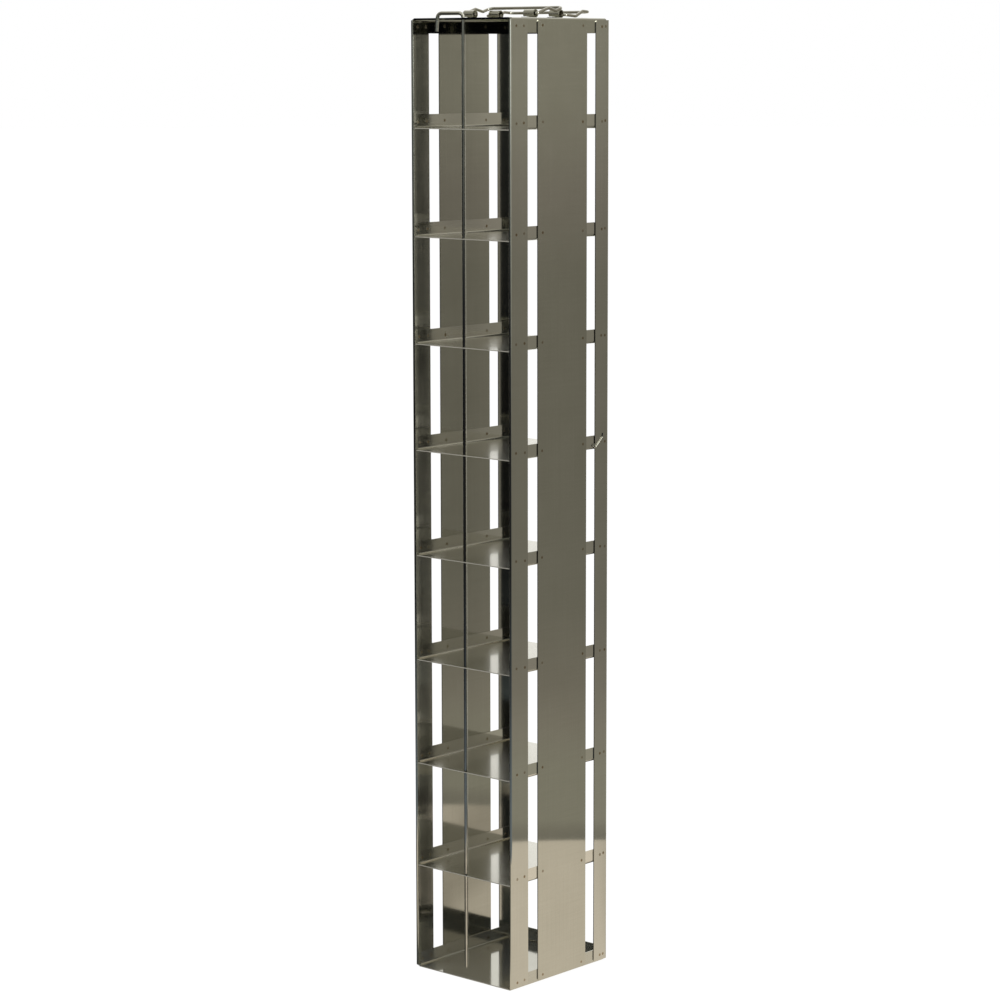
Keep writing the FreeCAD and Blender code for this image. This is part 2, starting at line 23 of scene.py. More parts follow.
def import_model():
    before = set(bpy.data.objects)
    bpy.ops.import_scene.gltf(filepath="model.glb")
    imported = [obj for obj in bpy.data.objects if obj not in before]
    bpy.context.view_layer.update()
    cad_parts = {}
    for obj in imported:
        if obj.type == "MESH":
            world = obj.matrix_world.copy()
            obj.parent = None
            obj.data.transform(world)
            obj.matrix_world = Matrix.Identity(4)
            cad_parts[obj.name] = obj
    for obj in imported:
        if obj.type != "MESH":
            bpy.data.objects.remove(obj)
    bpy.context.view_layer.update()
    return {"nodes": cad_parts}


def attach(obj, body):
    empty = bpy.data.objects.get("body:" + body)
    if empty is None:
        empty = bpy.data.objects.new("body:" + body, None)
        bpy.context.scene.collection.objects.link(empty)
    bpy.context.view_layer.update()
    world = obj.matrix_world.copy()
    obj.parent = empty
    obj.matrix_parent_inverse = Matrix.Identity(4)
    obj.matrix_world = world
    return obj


LOG = logging.getLogger("freezer_rack")
MM = 0.001

Colour = tuple[float, float, float, float]
Stops = Sequence[tuple[float, Colour]]
Nodes = Mapping[str, bpy.types.Object]

# A noise pattern keeps mostly to this part of the range from zero to one.
NOISE_LOW = 0.3
NOISE_HIGH = 0.7

# Sockets of a Mix node that mixes two colours.
MIX_A = 6
MIX_B = 7
MIX_RESULT = 2


class Grain(Enum):
    """Direction in which a sheet was rolled, as the axis that its fine lines follow."""

    WIDTH = 0
    DEPTH = 1
    HEIGHT = 2


class Side(Enum):
    """The rack's two walls, as the sign of X."""

    LEFT = -1
    RIGHT = 1


def linear(code: str) -> Colour:
    """Turn an sRGB hex colour into a linear one.

    Args:
        code: Six hex digits with a leading hash sign.

    Returns:
        Linear red, green and blue, and an alpha of one.
    """
    channels = [int(code[start:start + 2], 16) / 255 for start in (1, 3, 5)]
    curved = [c / 12.92 if c <= 0.04045 else ((c + 0.055) / 1.055) ** 2.4 for c in channels]
    return curved[0], curved[1], curved[2], 1.0


def grey(level: float) -> Colour:
    """Return a linear grey with an alpha of one."""
    return level, level, level, 1.0


def add_node(
    tree: bpy.types.NodeTree,
    kind: str,
    inputs: Mapping[Any, Any] | None = None,
    stops: Stops = (),
    **settings: Any,
) -> bpy.types.Node:
    """Add a node to a tree with its settings, its values and its links.

    Args:
        tree: The node tree that gets the node.
        kind: Blender's type name of the node.
        inputs: Socket name or number to a value, or to the output socket that feeds it.
        stops: Position and linear colour of each stop, in order, where the node has a ramp.
        **settings: Properties of the node itself.

    Returns:
        The new node.
    """
    node = tree.nodes.new(kind)
    for name, value in settings.items():
        setattr(node, name, value)
    for key, value in (inputs or {}).items():
        if isinstance(value, bpy.types.NodeSocket):
            tree.links.new(value, node.inputs[key])
        else:
            node.inputs[key].default_value = value
    if stops:
        elements = node.color_ramp.elements
        while len(elements) < len(stops):
            elements.new(0.5)
        for element, (position, colour) in zip(elements, stops):
            element.position = position
            element.color = colour
    return node


def new_material(name: str) -> tuple[bpy.types.Material, bpy.types.NodeTree]:
    """Make an empty node material.

    Args:
        name: The material's name.

    Returns:
        The material and its node tree.
    """
    material = bpy.data.materials.new(name)
    material.use_nodes = True
    material.node_tree.nodes.clear()
    return material, material.node_tree


def new_object(
    source: bmesh.types.BMesh, name: str, material: bpy.types.Material
) -> bpy.types.Object:
    """Turn a bmesh into an object of the scene, and free it.

    Args:
        source: The mesh, in metres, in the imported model's frame.
        name: The object's name.
        material: Its finish.

    Returns:
        The new object.
    """
    mesh = bpy.data.meshes.new(name)
    source.to_mesh(mesh)
    source.free()
    mesh.materials.append(material)
    thing = bpy.data.objects.new(name, mesh)
    bpy.context.scene.collection.objects.link(thing)
    return thing


def paint(nodes: Nodes, name: str, material: bpy.types.Material) -> None:
    """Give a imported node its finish.

    Args:
        nodes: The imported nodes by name.
        name: The name of the one to paint.
        material: The finish that goes into each of its slots.
    """
    slots = nodes[name].data.materials
    if not slots:
        slots.append(material)
    for index in range(len(slots)):
        slots[index] = material
    LOG.info("%s: %s", name, material.name)


@dataclass(frozen=True)
class SheetSteel:
    """Cold-rolled stainless sheet, nearly a mirror, with faint lines along the rolling direction.

    The eye sees the room in it, smeared across the lines and crisp along them, slow waves in the
    thin sheet, faint clouds that wiping leaves, and duller sheared edges, darkened on the walls
    by painted shade.

    Attributes:
        name: The material's name.
        grain: The rolling direction.
        colour: The steel where the patterns are low.
        pale: The steel where they are high.
        metal: How metallic the sheet's faces are.
        roughness: The middle of the faces' roughness.
        streak: How far the patterns move the roughness to each side.
        anisotropy: How much further a reflection smears across the lines than along them.
        line_pitch: Distance between the lines that rolling leaves.
        line_length: Length of such a line.
        line_depth: Depth of such a line.
        bar_pitch: Distance between the bars that the rolls leave.
        bar_length: Length of such a bar.
        cloud_size: Size of the clouds that wiping leaves.
        line_share: Share of the lines in the tone.
        bar_share: Share of the bars in the tone.
        cloud_share: Share of the clouds in the tone.
        wave_length: Length of the waves in the thin sheet.
        wave_height: Height of those waves.
        haze: Roughness that the dull specks add on lying faces.
        haze_share: Share of a lying face that the specks cover.
        haze_size: Size of a speck.
        edge: The steel of a sheared edge. The walls keep the dark default, which is painted shade.
        edge_metal: How metallic a sheared edge is.
        edge_dulling: Roughness that a sheared edge adds.
        edge_front: Place along Y where the stretch with marked sheared edges starts.
        edge_back: Place where it ends. Both at zero mark no edge.
    """

    name: str
    grain: Grain
    colour: str = "#bfbeb2"
    pale: str = "#cccbc0"
    metal: float = 1.0
    roughness: float = 0.085
    streak: float = 0.02
    anisotropy: float = 1.0
    line_pitch: float = 1.4
    line_length: float = 160.0
    line_depth: float = 0.003
    bar_pitch: float = 1.6
    bar_length: float = 60.0
    cloud_size: float = 45.0
    line_share: float = 0.4
    bar_share: float = 0.25
    cloud_share: float = 0.35
    wave_length: float = 130.0
    wave_height: float = 0.1
    haze: float = 0.0
    haze_share: float = 0.0
    haze_size: float = 0.25
    # The dark grey of the walls' sheared edges is painted shade; their dullness is their roughness.
    edge: str = "#75736c"
    edge_metal: float = 1.0
    edge_dulling: float = 0.22
    edge_front: float = -75.0
    edge_back: float = 75.0

    def build(self) -> bpy.types.Material:
        """Build the material.

        Returns:
            The finished material.
        """
        material, tree = new_material(self.name)
        place = add_node(tree, "ShaderNodeTexCoord").outputs["Object"]
        lines = self.rolled(tree, place)
        tone = self.toned(tree, place, lines)
        cut = self.sheared(tree, place)
        # A metallic share that is the same all over is set on the shader's own socket.
        bare: float | bpy.types.NodeSocket = self.metal
        if self.edge_metal != self.metal:
            bare = add_node(tree, "ShaderNodeMath", {
                0: cut, 1: self.edge_metal - self.metal, 2: self.metal},
                operation="MULTIPLY_ADD").outputs[0]
        surface = add_node(tree, "ShaderNodeBsdfPrincipled", {
            "Base Color": self.coloured(tree, tone, cut),
            "Metallic": bare,
            "Roughness": self.dulled(tree, place, tone, cut),
            "Normal": self.relief(tree, place, lines),
            "Anisotropic": self.anisotropy})
        if self.anisotropy:
            tangent = add_node(tree, "ShaderNodeTangent", direction_type="RADIAL", axis="Z")
            tree.links.new(tangent.outputs[0], surface.inputs["Tangent"])
        add_node(tree, "ShaderNodeOutputMaterial", {"Surface": surface.outputs[0]})
        return material

    def rolled(
        self, tree: bpy.types.NodeTree, place: bpy.types.NodeSocket
    ) -> bpy.types.NodeSocket:
        """Draw the fine lines that follow the rolling direction.

        Args:
            tree: The material's node tree.
            place: The object coordinates.

        Returns:
            The lines' pattern.
        """
        # The real lines are about 0.05 mm apart. They are drawn 1.4 mm apart so that they show.
        scale = [1 / (self.line_pitch * MM)] * 3
        scale[self.grain.value] = 1 / (self.line_length * MM)
        stretched = add_node(tree, "ShaderNodeMapping", {"Vector": place, "Scale": scale})
        return add_node(tree, "ShaderNodeTexNoise", {
            "Vector": stretched.outputs[0], "Scale": 1.0, "Detail": 4.0,
            "Roughness": 0.6}).outputs["Fac"]

    def toned(
        self,
        tree: bpy.types.NodeTree,
        place: bpy.types.NodeSocket,
        lines: bpy.types.NodeSocket,
    ) -> bpy.types.NodeSocket:
        """Join the lines, the rolls' bars and the wiped clouds into one tone.

        Args:
            tree: The material's node tree.
            place: The object coordinates.
            lines: The lines' pattern.

        Returns:
            The tone, mostly between NOISE_LOW and NOISE_HIGH.
        """
        clouds = add_node(tree, "ShaderNodeTexNoise", {
            "Vector": place, "Scale": 1 / (self.cloud_size * MM), "Detail": 3.0,
            "Roughness": 0.55})
        # The rolls leave faint bars across the sheet, level on the walls.
        flattened = add_node(tree, "ShaderNodeMapping", {"Vector": place, "Scale": [
            1 / (self.bar_length * MM), 1 / (self.bar_length * MM), 1 / (self.bar_pitch * MM)]})
        bars = add_node(tree, "ShaderNodeTexNoise", {
            "Vector": flattened.outputs[0], "Scale": 1.0, "Detail": 2.0, "Roughness": 0.6})
        tone = add_node(tree, "ShaderNodeMath", {0: lines, 1: self.line_share},
                        operation="MULTIPLY")
        for pattern, share in ((clouds, self.cloud_share), (bars, self.bar_share)):
            tone = add_node(tree, "ShaderNodeMath", {
                0: pattern.outputs["Fac"], 1: share, 2: tone.outputs[0]},
                operation="MULTIPLY_ADD")
        return tone.outputs[0]

    def coloured(
        self,
        tree: bpy.types.NodeTree,
        tone: bpy.types.NodeSocket,
        cut: bpy.types.NodeSocket,
    ) -> bpy.types.NodeSocket:
        """Colour the faces by their tone, and the sheared edges apart.

        Args:
            tree: The material's node tree.
            tone: The sheet's tone.
            cut: One on a sheared edge and zero elsewhere.

        Returns:
            The steel's colour.
        """
        faces = add_node(tree, "ShaderNodeValToRGB", {"Fac": tone}, stops=(
            (NOISE_LOW, linear(self.colour)), (NOISE_HIGH, linear(self.pale))))
        return add_node(tree, "ShaderNodeMix", {
            "Factor": cut, MIX_A: faces.outputs["Color"], MIX_B: linear(self.edge)},
            data_type="RGBA").outputs[MIX_RESULT]

    def dulled(
        self,
        tree: bpy.types.NodeTree,
        place: bpy.types.NodeSocket,
        tone: bpy.types.NodeSocket,
        cut: bpy.types.NodeSocket,
    ) -> bpy.types.NodeSocket:
        """Vary the roughness with the tone, the haze and the sheared edges.

        Args:
            tree: The material's node tree.
            place: The object coordinates.
            tone: The sheet's tone.
            cut: One on a sheared edge and zero elsewhere.

        Returns:
            The steel's roughness.
        """
        gloss = add_node(tree, "ShaderNodeMapRange", {
            "Value": tone, "From Min": NOISE_LOW, "From Max": NOISE_HIGH,
            "To Min": self.roughness - self.streak,
            "To Max": self.roughness + self.streak}).outputs["Result"]
        if self.haze:
            gloss = self.hazed(tree, place, gloss)
        return add_node(tree, "ShaderNodeMath", {0: cut, 1: self.edge_dulling, 2: gloss},
                        operation="MULTIPLY_ADD").outputs[0]

    def hazed(
        self,
        tree: bpy.types.NodeTree,
        place: bpy.types.NodeSocket,
        gloss: bpy.types.NodeSocket,
    ) -> bpy.types.NodeSocket:
        """Scatter fine dull specks over the shine, which the eye sees as a haze round reflections.

        Args:
            tree: The material's node tree.
            place: The object coordinates.
            gloss: The roughness between the specks.

        Returns:
            The roughness with the specks in it.
        """
        # The real specks are a few hundredths of a millimetre wide. They are drawn coarser.
        specks = add_node(tree, "ShaderNodeTexNoise", {
            "Vector": place, "Scale": 1 / (self.haze_size * MM), "Detail": 0.0})
        # The noise is above the first level nearly everywhere, and above the second nowhere.
        everywhere, nowhere = 0.38, 0.62
        level = nowhere - (nowhere - everywhere) * self.haze_share
        blur = 0.03
        amount = add_node(tree, "ShaderNodeMapRange", {
            "Value": specks.outputs["Fac"], "From Min": level - blur, "From Max": level + blur,
            "To Min": 0.0, "To Max": self.haze})
        # The boxes slide on the lying faces, so the turned edges stay bright.
        facing = add_node(tree, "ShaderNodeNewGeometry").outputs["True Normal"]
        lying = add_node(tree, "ShaderNodeSeparateXYZ", {0: facing}).outputs["Z"]
        lying = add_node(tree, "ShaderNodeMath", {0: lying}, operation="ABSOLUTE").outputs[0]
        return add_node(tree, "ShaderNodeMath", {0: amount.outputs[0], 1: lying, 2: gloss},
                        operation="MULTIPLY_ADD").outputs[0]

    def sheared(
        self, tree: bpy.types.NodeTree, place: bpy.types.NodeSocket
    ) -> bpy.types.NodeSocket:
        """Mark the sheet's sheared edges, which are the faces that look forwards or backwards.

        Args:
            tree: The material's node tree.
            place: The object coordinates.

        Returns:
            One on a sheared edge and zero on the sheet's faces and on its rounded folds.
        """
        facing = add_node(tree, "ShaderNodeNewGeometry").outputs["True Normal"]
        depth = add_node(tree, "ShaderNodeSeparateXYZ", {0: facing}).outputs["Y"]
        depth = add_node(tree, "ShaderNodeMath", {0: depth}, operation="ABSOLUTE").outputs[0]
        # The facets of a rounded fold lean by more than this cosine allows.
        least_cosine = 0.9
        flat = add_node(tree, "ShaderNodeMath", {0: depth, 1: least_cosine},
                        operation="GREATER_THAN")
        reach = add_node(tree, "ShaderNodeSeparateXYZ", {0: place}).outputs["Y"]
        middle = (self.edge_front + self.edge_back) / 2
        inside = add_node(tree, "ShaderNodeMath", {
            0: reach, 1: middle * MM, 2: (self.edge_back - middle) * MM},
            operation="COMPARE")
        return add_node(tree, "ShaderNodeMath", {0: flat.outputs[0], 1: inside.outputs[0]},
                        operation="MULTIPLY").outputs[0]

    def relief(
        self,
        tree: bpy.types.NodeTree,
        place: bpy.types.NodeSocket,
        lines: bpy.types.NodeSocket,
    ) -> bpy.types.NodeSocket:
        """Bend the surface by the thin sheet's waves and its fine lines.

        Args:
            tree: The material's node tree.
            place: The object coordinates.
            lines: The lines' pattern.

        Returns:
            The bent normal.
        """
        waves = add_node(tree, "ShaderNodeTexNoise", {
            "Vector": place, "Scale": 1 / (self.wave_length * MM), "Detail": 0.0})
        wavy = add_node(tree, "ShaderNodeBump", {
            "Height": waves.outputs["Fac"], "Strength": 1.0, "Distance": self.wave_height * MM})
        return add_node(tree, "ShaderNodeBump", {
            "Height": lines, "Strength": 1.0, "Distance": self.line_depth * MM,
            "Normal": wavy.outputs[0]}).outputs[0]


@dataclass(frozen=True)
class DrawnWire:
    """Bright drawn stainless wire: a hard narrow shine with a few faint handling marks.

    Attributes:
        name: The material's name.
        colour: The clean wire.
        worn: The wire where it is handled.
        roughness: The clean wire's roughness.
        brighter: How far the roughness goes below that.
        duller: How far it goes above that.
        mark_size: Size of the handling marks.
        clean_level: Where in the marks' pattern the clean wire ends.
        worn_level: Where in it the wire is fully worn.
    """

    name: str
    colour: str = "#c6c4ba"
    worn: str = "#b9b6ac"
    roughness: float = 0.1
    brighter: float = 0.02
    duller: float = 0.03
    mark_size: float = 9.0
    clean_level: float = 0.35
    worn_level: float = 0.75

    def build(self) -> bpy.types.Material:
        """Build the material.

        Returns:
            The finished material.
        """
        material, tree = new_material(self.name)
        place = add_node(tree, "ShaderNodeTexCoord").outputs["Object"]
        marks = add_node(tree, "ShaderNodeTexNoise", {
            "Vector": place, "Scale": 1 / (self.mark_size * MM), "Detail": 2.0,
            "Roughness": 0.5}).outputs["Fac"]
        gloss = add_node(tree, "ShaderNodeMapRange", {
            "Value": marks, "From Min": NOISE_LOW, "From Max": NOISE_HIGH,
            "To Min": self.roughness - self.brighter, "To Max": self.roughness + self.duller})
        colour = add_node(tree, "ShaderNodeValToRGB", {"Fac": marks}, stops=(
            (self.clean_level, linear(self.colour)), (self.worn_level, linear(self.worn))))
        surface = add_node(tree, "ShaderNodeBsdfPrincipled", {
            "Base Color": colour.outputs["Color"], "Metallic": 1.0,
            "Roughness": gloss.outputs["Result"]})
        add_node(tree, "ShaderNodeOutputMaterial", {"Surface": surface.outputs[0]})
        return material


@dataclass(frozen=True)
class WeldTint:
    """Resistance spot weld in stainless: a straw and brown heat ring round a dull pressed dimple.

    It reads the marks' "reach" and "tint_strength" attributes.

    Attributes:
        name: The material's name.
        steel: The sheet round the mark.
        rings: Share of the mark's radius and the colour there, from the middle outwards.
        roughness: The dimple's roughness.
    """

    name: str = "spot_weld_heat_tint"
    steel: str = "#c4c3b7"
    rings: tuple[tuple[float, str], ...] = (
        (0.0, "#9a8972"), (0.4, "#8f7c61"), (0.65, "#948168"), (0.85, "#b3a993"))
    roughness: float = 0.2

    def build(self) -> bpy.types.Material:
        """Build the material.

        Returns:
            The finished material.
        """
        material, tree = new_material(self.name)
        reach = add_node(tree, "ShaderNodeAttribute", attribute_name="reach").outputs["Fac"]
        strength = add_node(tree, "ShaderNodeAttribute",
                            attribute_name="tint_strength").outputs["Fac"]
        stops = [(share, linear(code)) for share, code in self.rings]
        tint = add_node(tree, "ShaderNodeValToRGB", {"Fac": reach},
                        stops=stops + [(1.0, linear(self.steel))])
        colour = add_node(tree, "ShaderNodeMix", {
            "Factor": strength, MIX_A: linear(self.steel), MIX_B: tint.outputs["Color"]},
            data_type="RGBA").outputs[MIX_RESULT]
        surface = add_node(tree, "ShaderNodeBsdfPrincipled", {
            "Base Color": colour, "Metallic": 1.0, "Roughness": self.roughness})
        add_node(tree, "ShaderNodeOutputMaterial", {"Surface": surface.outputs[0]})
        return material


@dataclass(frozen=True)
class WeldMark:
    """The mark of one spot weld: a shallow dimple with a raised rim.

    Attributes:
        radius: Radius of the tinted ring.
        rise: Height of the rim above the sheet.
        rings: Shares of the radius at which the profile has a point.
        lean: How far outwards the rim's crest lies. At one it is half way.
        sectors: Steps round the mark.
    """

    radius: float = 1.7
    rise: float = 0.05
    rings: tuple[float, ...] = (0.0, 0.25, 0.45, 0.62, 0.8, 1.0)
    lean: float = 1.6
    sectors: int = 20

    def build(self) -> bpy.types.Mesh:
        """Build the mark flat on the XY plane.

        Returns:
            The mark, with the share of the radius in its "reach" attribute.
        """
        mark = bmesh.new()
        mark.verts.layers.float.new("tint_strength")
        reach = mark.verts.layers.float.new("reach")
        profile = []
        for share in self.rings:
            height = self.rise * math.sin(math.pi * share ** self.lean)
            vert = mark.verts.new((share * self.radius * MM, 0.0, height * MM))
            vert[reach] = share
            profile.append(vert)
        edges = [mark.edges.new(pair) for pair in zip(profile, profile[1:])]
        bmesh.ops.spin(mark, geom=profile + edges, cent=(0, 0, 0), axis=(0, 0, 1),
                       angle=2 * math.pi, steps=self.sectors, use_merge=True)
        bmesh.ops.remove_doubles(mark, verts=mark.verts, dist=0.01 * MM)
        bmesh.ops.recalc_face_normals(mark, faces=mark.faces)
        if sum(face.normal.z for face in mark.faces) < 0:
            bmesh.ops.reverse_faces(mark, faces=mark.faces)
        mesh = bpy.data.meshes.new("weld_mark")
        mark.to_mesh(mesh)
        mark.free()
        return mesh

    @staticmethod
    def stamp(
        marks: bmesh.types.BMesh, pattern: bpy.types.Mesh, spot: Vector, facing: int, tint: float
    ) -> None:
        """Add a copy of a mark to a wall.

        Args:
            marks: The mesh that gets the copy.
            pattern: The mark, flat on the XY plane, in metres.
            spot: Middle of the mark on the sheet's face, in millimetres.
            facing: Sign of the face's normal along X.
            tint: Strength of the mark's colour, up to one.
        """
        known = len(marks.verts)
        marks.from_mesh(pattern)
        marks.verts.ensure_lookup_table()
        strength = marks.verts.layers.float["tint_strength"]
        for vert in marks.verts[known:]:
            vert[strength] = tint
        turn = Matrix.Rotation(math.radians(90.0 * facing), 4, "Y")
        bmesh.ops.transform(marks, matrix=Matrix.Translation(spot * MM) @ turn,
                            verts=marks.verts[known:])


@dataclass
class SheetFrame:
    """The welded frame: pans, shelves, strips, panels and angles, and the marks of its welds.

    Attributes:
        half_width: From the middle to a wall's outside.
        gauge: Thickness of every sheet.
        pitch: From one plate to the next.
        shelf_count: Number of shelves.
        front: Place of the front along Y.
        weld_rise: Height of a level's welds over its plate's underside.
        top_weld_drop: From the top pan's upper face down to its welds.
        weld_setbacks: Distances of the welds from the front.
        drift: How far a weld strays along the wall.
        lift: How far it strays up or down.
        fading: How much the heat tint differs from weld to weld, to each side.
    """

    half_width: float = 70.0
    gauge: float = 1.0
    pitch: float = 114.0
    shelf_count: int = 8
    front: float = -79.0
    weld_rise: float = 7.5
    top_weld_drop: float = 8.3
    weld_setbacks: tuple[float, ...] = (9.0, 21.7, 50.2, 115.5, 145.5, 152.0)
    drift: float = 0.7
    lift: float = 0.6
    fading: float = 0.2

    def dress(self, nodes: Nodes) -> None:
        """Give every sheet its steel.

        Args:
            nodes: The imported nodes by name.
        """
        # The walls are upright mirrors with a visible grain. Strips and angles are a little paler.
        walls = {
            "side_panel": SheetSteel("rolled_steel_panel", Grain.HEIGHT),
            "front_strip": SheetSteel("rolled_steel_strip", Grain.HEIGHT, colour="#c4c3b8",
                                      pale="#d1d0c6", line_depth=0.0),
            "rear_angle": SheetSteel("rolled_steel_angle", Grain.HEIGHT, colour="#cac9bf",
                                     pale="#d7d6cd", line_depth=0.0),
        }
        for wall, steel in walls.items():
            material = steel.build()
            for side in Side:
                paint(nodes, f"{wall}_{side.name.lower()}", material)
        # The boxes have scuffed the shelves to a pale haze with soft reflections in it.
        shelf = SheetSteel("rolled_steel_plate", Grain.WIDTH, colour="#dedcd2", pale="#e5e4db",
                           roughness=0.1, anisotropy=0.0, line_depth=0.0, haze=0.22,
                           haze_share=0.45, edge="#9a978c", edge_metal=0.25,
                           edge_front=-100.0, edge_back=100.0).build()
        for level in range(1, self.shelf_count + 1):
            paint(nodes, f"shelf_{level}", shelf)
        # No box touches the top pan, so it is the brightest. The bottom pan is a little dulled.
        bright = SheetSteel("rolled_steel_top_pan", Grain.WIDTH, roughness=0.055,
                            anisotropy=0.0, line_depth=0.0, edge_front=0.0, edge_back=0.0)
        scuffed = replace(bright, name="rolled_steel_bottom_pan", metal=0.88, roughness=0.09,
                          edge="#8e8b80", edge_metal=0.25, edge_front=-100.0, edge_back=75.0)
        paint(nodes, "top_pan", bright.build())
        paint(nodes, "bottom_pan", scuffed.build())

    def levels(self) -> list[float]:
        """Find the height of the welds of each level.

        Returns:
            The heights in millimetres, from the bottom pan's up to the top pan's.
        """
        lower = [self.pitch * level + self.weld_rise for level in range(self.shelf_count + 1)]
        top = self.pitch * (self.shelf_count + 1) + self.gauge - self.top_weld_drop
        return lower + [top]

    def build(self) -> bpy.types.Object:
        """Build the marks of the spot welds, inside and outside both walls.

        Returns:
            The marks as one object.
        """
        marks = bmesh.new()
        mark = WeldMark()
        pattern = mark.build()
        for side in Side:
            outer = side.value * self.half_width
            inner = side.value * (self.half_width - 2 * self.gauge)
            for level, height in enumerate(self.levels()):
                for weld, setback in enumerate(self.weld_setbacks):
                    # Sines stand in for chance, so every run gives the same marks.
                    drift = self.drift * math.sin(7.1 * level + 3.3 * weld + side.value)
                    lift = self.lift * math.sin(5.3 * level + 1.7 * weld)
                    fading = self.fading * math.sin(3.7 * level + 2.9 * weld + side.value)
                    tint = 1.0 - self.fading + fading
                    spot = Vector((outer, self.front + setback + drift, height + lift))
                    mark.stamp(marks, pattern, spot, side.value, tint)
                    spot.x = inner
                    mark.stamp(marks, pattern, spot, -side.value, tint)
        bpy.data.meshes.remove(pattern)
        piece = new_object(marks, "spot_weld_marks", WeldTint().build())
        for polygon in piece.data.polygons:
            polygon.use_smooth = True
        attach(piece, "frame")
        LOG.info("%s: %d faces", piece.name, len(piece.data.polygons))
        return piece


@dataclass
class Hardware:
    """The clips, the two carrying bails, the lock rod and the small side hook.

    Attributes:
        wires: The wire pieces.
        clips: The curled straps.
    """

    wires: tuple[str, ...] = ("front_bail", "rear_bail", "lock_rod", "side_wire_hook")
    clips: tuple[str, ...] = (
        "clip_front_left", "clip_front_right", "clip_rear_left", "clip_rear_right")

    def dress(self, nodes: Nodes) -> None:
        """Give the wires and the straps their finishes.

        Args:
            nodes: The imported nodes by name.
        """
        wire = DrawnWire("drawn_wire_bright").build()
        # A strap is too small to show waves, and its curl softens what it mirrors.
        strap = SheetSteel("rolled_steel_strap", Grain.WIDTH, roughness=0.13, streak=0.01,
                           anisotropy=0.0, line_depth=0.0, wave_height=0.0,
                           edge_front=0.0, edge_back=0.0).build()
        for name in self.wires:
            paint(nodes, name, wire)
        for name in self.clips:
            paint(nodes, name, strap)


def seen(tree: bpy.types.NodeTree) -> bpy.types.NodeSocket:
    """Tell the rays that show a background from those that light the rack.

    Args:
        tree: The node tree that gets the nodes.

    Returns:
        One for camera, glossy and transmission rays, and zero for the others.
    """
    path = add_node(tree, "ShaderNodeLightPath")
    shine = add_node(tree, "ShaderNodeMath", {
        0: path.outputs["Is Camera Ray"], 1: path.outputs["Is Glossy Ray"]},
        operation="ADD")
    return add_node(tree, "ShaderNodeMath", {
        0: shine.outputs[0], 1: path.outputs["Is Transmission Ray"]},
        operation="ADD", use_clamp=True).outputs[0]


@dataclass
class Room:
    """A white room with a wide pale floor that keeps the rack's shadow.

    Attributes:
        floor_radius: The floor's radius, out past the camera's view.
        floor_facets: Facets round the floor.
        paint_level: Grey of the floor's paint.
        glow_strength: Strength of the white that the floor shows.
        glow_share: Share of that white, where the rest keeps the shadow.
        air_level: Grey of the light that fills the room.
        air_strength: Strength of that light.
    """

    floor_radius: float = 40.0
    floor_facets: int = 96
    paint_level: float = 0.86
    glow_strength: float = 1.08
    glow_share: float = 0.86
    air_level: float = 0.9
    air_strength: float = 0.8

    def build(self) -> None:
        """Build the air and the floor."""
        self.build_air()
        self.build_floor()

    def build_air(self) -> None:
        """Light the room evenly, with white where it is seen."""
        world = bpy.data.worlds.new("studio_room")
        bpy.context.scene.world = world
        world.use_nodes = True
        tree = world.node_tree
        tree.nodes.clear()
        soft = add_node(tree, "ShaderNodeBackground", {
            "Color": grey(self.air_level), "Strength": self.air_strength})
        white = add_node(tree, "ShaderNodeBackground", {"Color": grey(1.0), "Strength": 1.0})
        mixed = add_node(tree, "ShaderNodeMixShader", {
            0: seen(tree), 1: soft.outputs[0], 2: white.outputs[0]})
        add_node(tree, "ShaderNodeOutputWorld", {"Surface": mixed.outputs[0]})

    def build_floor(self) -> None:
        """Lay a white floor under the rack."""
        material, tree = new_material("white_sweep")
        matt = add_node(tree, "ShaderNodeBsdfDiffuse", {"Color": grey(self.paint_level)})
        glow = add_node(tree, "ShaderNodeEmission", {
            "Color": grey(1.0), "Strength": self.glow_strength})
        share = add_node(tree, "ShaderNodeMath", {0: seen(tree), 1: self.glow_share},
                         operation="MULTIPLY")
        mixed = add_node(tree, "ShaderNodeMixShader", {
            0: share.outputs[0], 1: matt.outputs[0], 2: glow.outputs[0]})
        add_node(tree, "ShaderNodeOutputMaterial", {"Surface": mixed.outputs[0]})
        floor = bmesh.new()
        bmesh.ops.create_circle(floor, cap_ends=True, segments=self.floor_facets,
                                radius=self.floor_radius)
        new_object(floor, "floor", material)


# How much the veil round the front lets through, a little more of the blue.
DIM = (0.07, 0.09, 0.15, 1.0)


